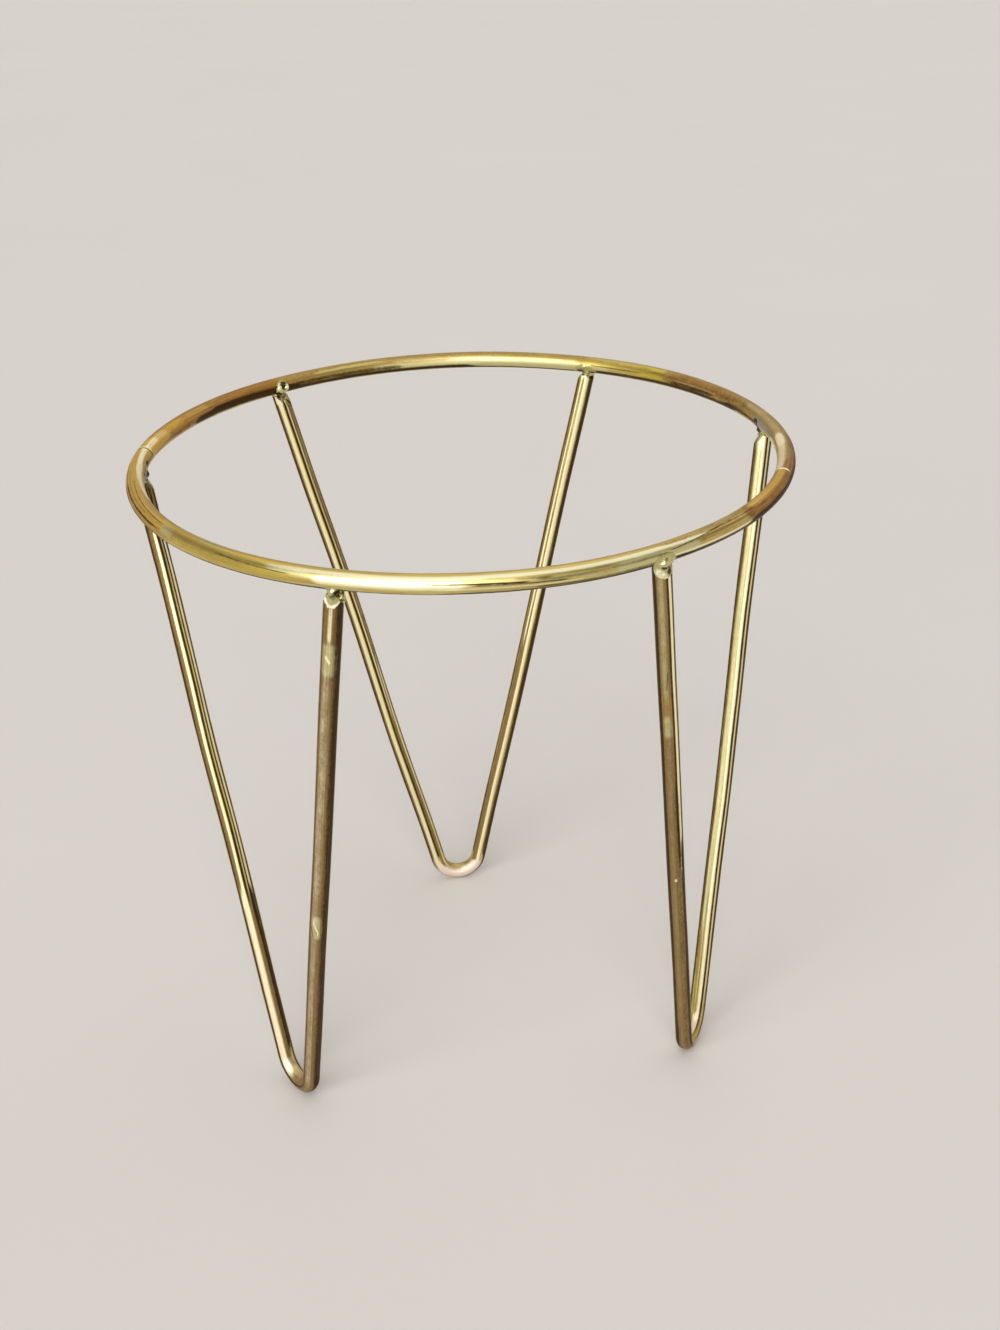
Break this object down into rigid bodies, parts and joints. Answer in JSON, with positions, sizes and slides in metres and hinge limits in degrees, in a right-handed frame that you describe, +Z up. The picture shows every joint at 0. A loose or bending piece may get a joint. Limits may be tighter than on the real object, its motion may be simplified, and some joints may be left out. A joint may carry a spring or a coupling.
{
  "type": "plant pot stand",
  "caption": "Low stand of brazed brass rod: an open ring that a plant pot sits in, carried by V-shaped hairpin legs that taper inwards to the floor.",
  "frame": {"origin": "on the floor, straight under the middle of the ring", "axes": "+Z up; +Y towards the leg at the rear; +X to the right as seen from the front, where the two front legs stand left and right"},
  "size_m": [0.2324, 0.2324, 0.24],
  "materials": {
    "ring_rod": "polished once, now tarnished in brown and orange patches",
    "leg_rod": "drawn rod with lengthwise lines, partly polished, partly dull brown",
    "braze": "pale filler metal as it froze, lumpy and pitted"
  },
  "bodies": {
    "root": {"ring": "ring_rod", "rear_leg": "leg_rod", "front_left_leg": "leg_rod", "front_right_leg": "leg_rod", "ring_seam_braze": "braze", "rear_left_braze": "braze", "rear_right_braze": "braze", "front_left_outer_braze": "braze", "front_left_inner_braze": "braze", "front_right_inner_braze": "braze", "front_right_outer_braze": "braze"}
  },
  "joints": []
}
